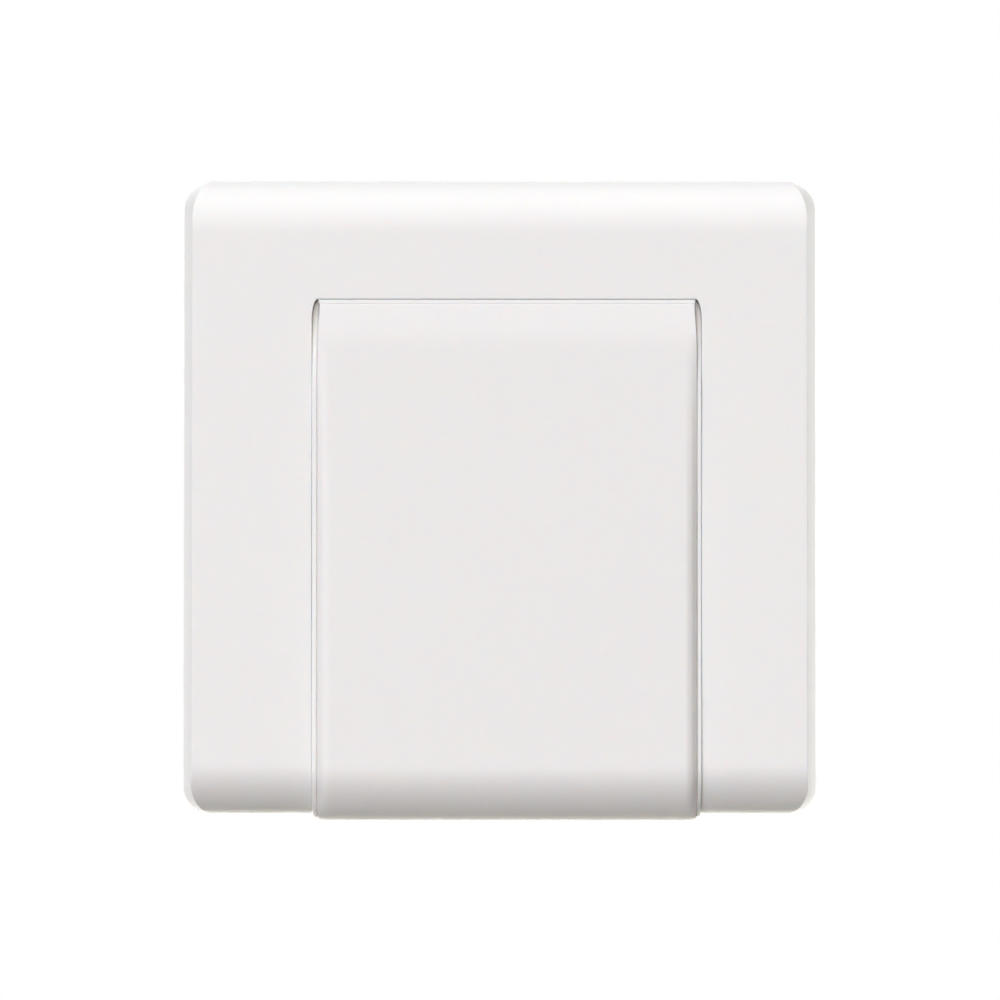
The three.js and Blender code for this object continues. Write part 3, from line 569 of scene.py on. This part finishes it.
def build_plate():
    shape = Shape()
    outer_rows, inner_rows = plate_rows(0), plate_rows(WALL)
    outer, inner = {}, {}
    for sign in (-1, 1):
        outer[sign] = outer_side(sign, outer_rows)
        shape.grid(outer[sign])
    # roll of the top edge
    shape.grid([[outer[-1][i][-1], outer[1][i][-1]] for i in range(TOP_ROWS)])
    fillets, rear = opening_edge(outer_rows[TOP_ROWS:])
    opening_wall(shape, fillets, rear)
    # rolls of the legs
    for sign in (-1, 1):
        shape.grid(
            [
                [outer[sign][TOP_ROWS + row][-1], fillets[leg_station(sign, row)][0]]
                for row in range(LEG_ROWS)
            ]
        )
    front_face(shape, outer, [fillet[0] for fillet in fillets])

    # inner skin
    for sign in (-1, 1):
        inner[sign] = [
            [(sign * half_width(z, depth, WALL), depth, z) for depth in (0, y)]
            for z, y in inner_rows
        ]
        shape.grid(inner[sign])
    shape.grid([[inner[-1][i][1], inner[1][i][1]] for i in range(TOP_ROWS)])
    shape.face([inner[-1][0][0], inner[-1][0][1], inner[1][0][1], inner[1][0][0]])
    # outline where the collar's outside meets the inner skin
    leg_rows = inner_rows[TOP_ROWS:]
    collar = []
    for i, (x, z, _, _) in enumerate(opening_stations(COLLAR_WALL, [z for z, _ in leg_rows])):
        row = leg_row(i)
        collar.append((x, FRONT + WALL if row < 0 else leg_rows[row][1], z))
    for sign in (-1, 1):
        close_leg(shape, sign, outer[sign], inner[sign], fillets, rear, collar)
    front_face(shape, inner, collar)
    collar_outside(shape, rear, collar)
    # top cap and top rim
    shape.face(outer[-1][0] + list(reversed(outer[1][0])))
    shape.face([outer[-1][0][0], outer[1][0][0], inner[1][0][0], inner[-1][0][0]])

    # bar that ties the legs together, and the hooks
    shape.chamfered_box(CX - TIE_HALF, CX + TIE_HALF, TIE_Y, (TIE_BOTTOM, CHEEK_Z), cut=0.2)
    for sign_x in (-1, 1):
        for sign_z in (-1, 1):
            outline = [(sign_x * x, y) for x, y in PLATE_HOOK]
            z = sign_z * HOOK_Z
            shape.prism(outline, "z", z - HOOK_HALF, z + HOOK_HALF)
    shape.build("front_plate_shell", "base", "front_plate", "plate_plastic")


# ------------------------------------------------------------------ rocker key
def lean_y(z):
    """y of the leaning plane of the key's face."""
    return KEY_FRONT + math.tan(LEAN) * (z - CZ)


def key_face(z):
    """y of the key's face at z above the roll, which dips towards the top."""
    above = z - KEY_CURVE_Z
    if above <= 0:
        dip = 0.0
    elif above < KEY_EASE:
        dip = KEY_SLOPE * above * above / (2 * KEY_EASE)
    else:
        dip = KEY_SLOPE * (above - KEY_EASE / 2)
    return lean_y(z) + dip


def key_profile():
    """stations from the lip up to the top crease: y, z, inward normal y, inward normal z."""
    stations = []
    roll_y = lean_y(KEY_ROLL_Z - KEY_ROLL * math.sin(LEAN)) + KEY_ROLL * math.cos(LEAN)
    # angles are measured down from -y
    lip = math.degrees(math.acos((roll_y - LIP_BACK) / KEY_ROLL))
    for i in range(ROLL_STATIONS):
        angle = math.radians(lip + (-math.degrees(LEAN) - lip) * i / (ROLL_STATIONS - 1))
        y = roll_y - KEY_ROLL * math.cos(angle)
        z = KEY_ROLL_Z - KEY_ROLL * math.sin(angle)
        stations.append((y, z, math.cos(angle), math.sin(angle)))
    for z in FACE_STATIONS:
        stations.append((lean_y(z), z, math.cos(LEAN), -math.sin(LEAN)))
    for i in range(1, CURVE_STEPS + 1):
        z = KEY_CURVE_Z + i / CURVE_STEPS * (KEY_CREASE - KEY_CURVE_Z)
        slope = math.tan(LEAN) + KEY_SLOPE * min(1.0, (z - KEY_CURVE_Z) / KEY_EASE)
        length = math.hypot(1, slope)
        stations.append((key_face(z), z, 1 / length, -slope / length))
    return stations


def shoulder(inward):
    """depth below the face at a distance in from the border's edge, at full strength."""
    width = SHOULDER_TOP - SHOULDER
    if inward >= SHOULDER:
        return 0.5 * (SHOULDER_SLOPE / width) * (SHOULDER_TOP - inward) ** 2
    out = SHOULDER - inward
    bend = 1.25 * out * out if out < 0.2 else 0.5 * (out - 0.1)
    return 0.5 * SHOULDER_SLOPE * width + SHOULDER_SLOPE * out + bend


def key_section(strength, foot, top):
    """[(distance in, depth)] across the key's edge.

    strength scales the shoulder, foot rounds the edge over, top is True on the top edge.
    """
    base = (shoulder(GROOVE_IN) + BORDER_DROP) * strength
    groove = GROOVE_TOP if top else GROOVE
    slope = math.tan(BORDER_TILT_TOP if top else BORDER_TILT)
    section = [
        (0.0, base + BORDER * slope + 0.17),
        (0.05, base + BORDER * slope + 0.06),
        (0.14 + 0.06 * foot, base + (BORDER - 0.14) * slope),
        (BORDER - 0.02, base + 0.01),
        (BORDER + 0.01, base + 0.04),
        (BORDER + 0.025, base + groove),
        (BORDER + 0.125, base + groove),
        (BORDER + 0.145, base + 0.02),
    ]
    section += [(d, shoulder(d) * strength) for d in (GROOVE_IN, *SHOULDER_STOPS)]

    def turn(inward):
        return 0.9 * foot * (1 - math.sqrt(1 - max(0.0, 1 - inward / 1.1) ** 2))

    return [(inward, depth + turn(inward)) for inward, depth in section]


def corner_half(half, top, z):
    """half width at z of an outline with the opening's elliptical top corners."""
    half_x, half_z = OPEN_CORNER
    over = max(0.0, z - (top - half_z))
    return half - half_x * (1 - math.sqrt(max(0.0, 1 - min(1.0, over / half_z) ** 2)))


def key_side(sign, profile):
    """edge sections up one side of the key, and the flange's (x, z) at each station"""
    rows, flange = [], []
    for i, (y, z, ny, nz) in enumerate(profile):
        last = i == len(profile) - 1
        step = END_STEP if i == len(profile) - 2 else 0.0
        # the stations are spread so that the last one reaches the top border
        spread = smooth((z - SPREAD_Z) / (KEY_CREASE - SPREAD_Z))
        outer_z = z + (BORDER_TOP - KEY_CREASE) * spread
        outer_x = corner_half(BORDER_HALF, BORDER_TOP, outer_z)
        # the groove's inner edge is almost straight, so the border narrows to a crescent
        # at the corner
        narrow = smooth((z - NARROW_Z) / (KEY_CREASE - NARROW_Z))
        groove_x = BORDER_HALF - GROOVE_IN + GROOVE_SHIFT * sign - NARROWING * narrow
        # down the roll the shoulder gets lower and the border rounds over
        foot = smooth((KEY_ROLL_Z - FOOT_DROP - z) / FOOT_RUN)
        strength = min(1.0, max(0.0, (FADE_Z - z) / FADE_RUN) ** 0.6) * (1 - 0.85 * foot)
        # the border sinks towards the corner, but not along the top edge
        sink = 0.0 if last else SINK * smooth((z - SINK_Z) / SINK_RUN) ** 1.6
        row = []
        for inward, depth in key_section(strength, foot, top=last):
            if inward < GROOVE_IN:
                x = groove_x + (outer_x - groove_x) * (1 - inward / GROOVE_IN)
                depth += sink
            else:
                x = groove_x - (inward - GROOVE_IN)
            if z > SPREAD_Z:
                point_z = outer_z - inward * narrow**3 - step
                row.append((CX + sign * x, key_face(point_z) + depth, point_z))
            else:
                row.append((CX + sign * x, y + depth * ny, z + depth * nz))
        rows.append(row)
        flange_x = min(corner_half(KEY_HALF, KEY_TOP, outer_z), outer_x)
        flange.append((CX + sign * flange_x, min(outer_z, KEY_TOP) - step))
    return rows, flange


def key_outer_wall(rows, flange):
    """from the border back to a ledge, in to the flange and back to its rear edge"""
    walls = []
    for i, (row, (flange_x, flange_z)) in enumerate(zip(rows, flange)):
        x, y, z = row[0]
        if i < ROLL_STATIONS:  # on the roll the flange follows the border
            flange_z = z
        ledge = y + LEDGE
        back = max(KEY_BACK, y + MIN_DEPTH)
        walls.append(
            [(x, y, z), (x, ledge, z), (flange_x, ledge, flange_z), (flange_x, back, flange_z)]
        )
    return walls


def key_inner_wall(sign, profile, walls):
    """from the flange's rear edge forwards to the back of the face"""
    rows = []
    x = CX + sign * (KEY_HALF - KEY_SIDE_WALL)
    for i, (y, z, ny, nz) in enumerate(profile):
        back = walls[i][3][1]
        if i < ROLL_STATIONS:
            inner_z = z + KEY_WALL * nz
            inner_y = min(y + KEY_WALL * ny, back - 0.02)
        else:
            inner_z = min(z, KEY_TOP - KEY_TOP_WALL)
            inner_y = key_face(inner_z) + KEY_WALL
        rows.append([(x, back, inner_z), (x, inner_y, inner_z)])
    return rows


def add_key_fittings(shape):
    """pads on the carrier, clips that hook behind it, ribs"""
    for sign in (-1, 1):
        for offset in (-CLIP_Z, CLIP_Z):
            z = CZ + offset
            circle = []
            for i in range(PAD_SIDES):
                angle = i * (2 * math.pi / PAD_SIDES)
                x = CX + sign * PAD_X + PAD_RADIUS * math.cos(angle)
                circle.append((x, z + PAD_RADIUS * math.sin(angle)))
            shape.prism(circle, "y", *PAD_Y)
            clip = [(CX + sign * x, y) for x, y in KEY_CLIP]
            shape.prism(clip, "z", z - CLIP_HALF, z + CLIP_HALF)
        x = CX + sign * RIB_X
        shape.chamfered_box(x - RIB_HALF, x + RIB_HALF, RIB_Y, RIB_Z, cut=0.1)


def build_key():
    shape = Shape()
    profile = key_profile()
    # the crease comes twice: as the sunken end of the sides, then as the top edge
    profile.insert(-1, profile[-1])
    sides, flange, walls, inner = {}, {}, {}, {}
    for sign in (-1, 1):
        sides[sign], flange[sign] = key_side(sign, profile)
        shape.grid(sides[sign])
    left, right = sides[-1], sides[1]
    # top edge, then the face
    shape.grid([left[-1], right[-1]])
    shape.grid([[a[-1], b[-1]] for a, b in zip(left, right)])
    for sign in (-1, 1):
        walls[sign] = key_outer_wall(sides[sign], flange[sign])
        shape.grid(walls[sign])
    shape.grid([walls[-1][-1], walls[1][-1]])
    for sign in (-1, 1):
        inner[sign] = key_inner_wall(sign, profile, walls[sign])
        shape.grid(inner[sign])
        shape.grid([[wall[3], row[0]] for wall, row in zip(walls[sign], inner[sign])])
    # back of the face, then the rear and underside of the top wall
    shape.grid([[a[1], b[1]] for a, b in zip(inner[-1], inner[1])])
    top_left, top_right = inner[-1][-1], inner[1][-1]
    shape.face([walls[-1][-1][3], walls[1][-1][3], top_right[0], top_left[0]])
    shape.face([top_left[0], top_left[1], top_right[1], top_right[0]])
    # rear face of the lip, from the left border round to the right one
    shape.face(
        left[0][::-1]
        + walls[-1][0][1:]
        + inner[-1][0]
        + inner[1][0][::-1]
        + walls[1][0][:0:-1]
        + right[0]
    )
    add_key_fittings(shape)
    shape.build("rocker_key_shell", "rocker", "rocker_key", "key_plastic")


# ------------------------------------------------------------------ wall screws with a real thread
def build_screw(name, center_x, node):
    shape = Shape()

    def ring(y, radius_at):
        """closed ring; radius_at gives the radius at a fraction of a turn"""
        points = []
        for i in range(SCREW_SIDES):
            turn = i / SCREW_SIDES
            radius, angle = radius_at(turn), 2 * math.pi * turn
            points.append((center_x + radius * math.cos(angle), y, radius * math.sin(angle)))
        return points + points[:1]

    def recess_radius(turn):
        arm = max(0.0, math.cos(8 * math.pi * turn)) ** 2
        return between + (at_arm - between) * arm

    def thread_radius(turn):
        phase = (y / PITCH - turn) % 1.0
        ridge = 1 - abs(2 * phase - 1)
        return MINOR + (MAJOR - MINOR) * min(1.0, max(0.0, (ridge - 0.12) / 0.7))

    rings = []
    for between, at_arm, y in RECESS:
        rings.append(ring(y, recess_radius))
    shape.face(rings[0][:-1])
    for radius, y in HEAD:
        rings.append(ring(y, lambda turn: radius))
    y = THREAD_START
    while y < THREAD_END:
        rings.append(ring(y, thread_radius))
        y += PITCH / 8
    for radius, y in TIP:
        rings.append(ring(y, lambda turn: radius))
    shape.grid(rings)
    shape.face(rings[-1][:-1])
    shape.build(name, "base", node, "screw_steel", sharp=45)


build_plate()
build_key()
build_screw("wall_screw_left_threaded", -SCREW_X, "wall_screw_left")
build_screw("wall_screw_right_threaded", SCREW_X, "wall_screw_right")

# ------------------------------------------------------------------ pieces that keep their solids
REBUILT = ("front_plate", "rocker_key", "wall_screw_left", "wall_screw_right")
LOOKS = {
    "mounting_frame": "frame_plastic",
    "mechanism_housing": "housing_plastic",
    "mechanism_cover": "cover_plastic",
    "rocker_carrier": "carrier_plastic",
    "plunger": "plunger_plastic",
    "plunger_spring": "spring_steel",
    "contact_lever": "lever_bronze",
}
# for the other pieces, the first of these words found in the name decides
WORD_LOOKS = {
    "moving_contact": "contact_silver",
    "fixed_contact": "contact_silver",
    "screw": "screw_steel",
    "clamp": "clamp_steel",
    "strip": "terminal_brass",
    "terminal": "terminal_brass",
    "saddle": "terminal_brass",
}


def look_of(name):
    if name in LOOKS:
        return LOOKS[name]
    return next((look for word, look in WORD_LOOKS.items() if word in name), "housing_plastic")


def finish_solid(name, obj):
    """material, smooth shading and fine bevels for a CAD solid"""
    look = look_of(name)
    obj.data.materials.clear()
    obj.data.materials.append(MATS[look])
    obj.data.polygons.foreach_set("use_smooth", [True] * len(obj.data.polygons))
    weld = obj.modifiers.new("weld", "WELD")
    weld.merge_threshold = 0.000004
    planes = obj.modifiers.new("planes", "DECIMATE")
    planes.decimate_type = "DISSOLVE"
    planes.angle_limit = math.radians(0.6)
    bevel = obj.modifiers.new("edges", "BEVEL")
    bevel.width = 0.00010 if name != "plunger_spring" else 0.00002
    bevel.segments = 2
    bevel.limit_method = "ANGLE"
    bevel.angle_limit = math.radians(32)
    bevel.use_clamp_overlap = True
    weight_normals(obj, keep_sharp=False)


for name, obj in NODES.items():
    if name not in REBUILT:
        finish_solid(name, obj)

# ------------------------------------------------------------------ floor, metres
FLOOR_RADIUS, FLOOR_Z, FLOOR_SIDES = 0.5, -0.3, 96


def build_floor():
    mesh = bpy.data.meshes.new("floor")
    rim = []
    for i in range(FLOOR_SIDES):
        angle = 2 * math.pi * i / FLOOR_SIDES
        rim.append((FLOOR_RADIUS * math.cos(angle), FLOOR_RADIUS * math.sin(angle), FLOOR_Z))
    mesh.from_pydata(rim, [], [list(range(FLOOR_SIDES))])
    floor = add_object("floor", mesh)
    mat, tree, shader = new_material("floor_pale")
    place = tree.nodes.new("ShaderNodeTexCoord").outputs["Object"]
    clouds = noise(tree, place, scale=6.0)
    color = mix(tree, clouds, color_a=(0.80, 0.80, 0.80), color_b=(0.83, 0.83, 0.83))
    tree.links.new(color, shader.inputs["Base Color"])
    shader.inputs["Roughness"].default_value = 0.9
    shader.inputs["Emission Color"].default_value = (1, 1, 1, 1)
    shader.inputs["Emission Strength"].default_value = 0.26
    mesh.materials.append(mat)
    # the switch is lit by the studio alone, not by light thrown back from the floor
    floor.visible_diffuse = False
    floor.visible_glossy = False


build_floor()

# ------------------------------------------------------------------ light
LOBE_POWER = 8.0  # a higher power makes narrower lobes
NEUTRAL, COOL, WARM = (1.0, 1.0, 1.0), (0.958, 1.004, 1.035), (1.03, 1.0, 0.88)
# elevation and azimuth from the front towards +x in degrees, weight, colour
LIGHTS = [
    # softboxes in front, to the left and above
    (0, -25, 1.595, (0.985, 1.01, 1.14)),
    (0, 0, 1.403, (1.02, 0.99, 0.90)),
    (20, -25, 0.857, (0.99, 1.00, 1.10)),
    (40, -25, 0.405, COOL),
    (60, -25, 0.874, COOL),
    (80, 0, 1.739, COOL),
    # light thrown back from behind, above, below and the sides
    (0, 180, 2.788, NEUTRAL),
    (60, 180, 0.720, (0.985, 1.01, 1.02)),
    (-60, 180, 2.300, WARM),
    (-30, 180, 1.500, WARM),
    (-30, 140, 0.434, WARM),
    (0, 140, 1.150, NEUTRAL),
    (0, -140, 0.350, NEUTRAL),
]


def lobe(tree, generated, elevation, azimuth, weight):
    """soft light from one side of the studio: weight * max(0, cos)^LOBE_POWER"""
    rise, turn = math.radians(elevation), math.radians(azimuth)
    level = math.cos(rise)
    direction = (level * math.sin(turn), -level * math.cos(turn), math.sin(rise))
    dot = tree.nodes.new("ShaderNodeVectorMath")
    dot.operation = "DOT_PRODUCT"
    dot.inputs[1].default_value = Vector(direction).normalized()
    tree.links.new(generated, dot.inputs[0])
    value = dot.outputs["Value"]
    for operation, operand in (("MAXIMUM", 0.0), ("POWER", LOBE_POWER), ("MULTIPLY", weight)):
        node = tree.nodes.new("ShaderNodeMath")
        node.operation = operation
        node.inputs[1].default_value = operand
        tree.links.new(value, node.inputs[0])
        value = node.outputs["Value"]
    return value


def build_world():
    """the sum of the lobes lights the scene; the camera sees plain white"""
    world = bpy.data.worlds.new("studio")
    scene.world = world
    tree = empty_tree(world)
    output = tree.nodes.new("ShaderNodeOutputWorld")
    generated = tree.nodes.new("ShaderNodeTexCoord").outputs["Generated"]
    lit = None
    for elevation, azimuth, weight, color in LIGHTS:
        light = tree.nodes.new("ShaderNodeBackground")
        light.inputs["Color"].default_value = (*color, 1)
        strength = lobe(tree, generated, elevation, azimuth, weight)
        tree.links.new(strength, light.inputs["Strength"])
        if lit is None:
            lit = light.outputs["Background"]
        else:
            total = tree.nodes.new("ShaderNodeAddShader")
            tree.links.new(lit, total.inputs[0])
            tree.links.new(light.outputs["Background"], total.inputs[1])
            lit = total.outputs["Shader"]
    seen = tree.nodes.new("ShaderNodeBackground")
    seen.inputs["Color"].default_value = (1, 1, 1, 1)
    seen.inputs["Strength"].default_value = 1.0
    path = tree.nodes.new("ShaderNodeLightPath")
    choice = tree.nodes.new("ShaderNodeMixShader")
    tree.links.new(path.outputs["Is Camera Ray"], choice.inputs["Fac"])
    tree.links.new(lit, choice.inputs[1])
    tree.links.new(seen.outputs["Background"], choice.inputs[2])
    tree.links.new(choice.outputs["Shader"], output.inputs["Surface"])


build_world()

# ------------------------------------------------------------------ camera, metres
TILT = math.radians(1.7)  # the camera looks up from slightly below
DISTANCE = 0.800
CAMERA_ROLL = math.radians(0.02)
AIM = Vector((0.00005, 0.0, -0.00042))

lens = bpy.data.cameras.new("camera")
lens.type = "PERSP"
lens.sensor_width = 36
lens.sensor_fit = "HORIZONTAL"
lens.lens = 211.4
lens.clip_start = 0.05
lens.clip_end = 20
camera = add_object("camera", lens)
offset = Vector((0, -DISTANCE * math.cos(TILT), -DISTANCE * math.sin(TILT)))
facing = (-offset).to_track_quat("-Z", "Y").to_matrix().to_4x4()
camera.matrix_world = (
    Matrix.Translation(AIM + offset) @ facing @ Matrix.Rotation(CAMERA_ROLL, 4, "Z")
)
scene.camera = camera
scene.view_settings.view_transform = "Standard"
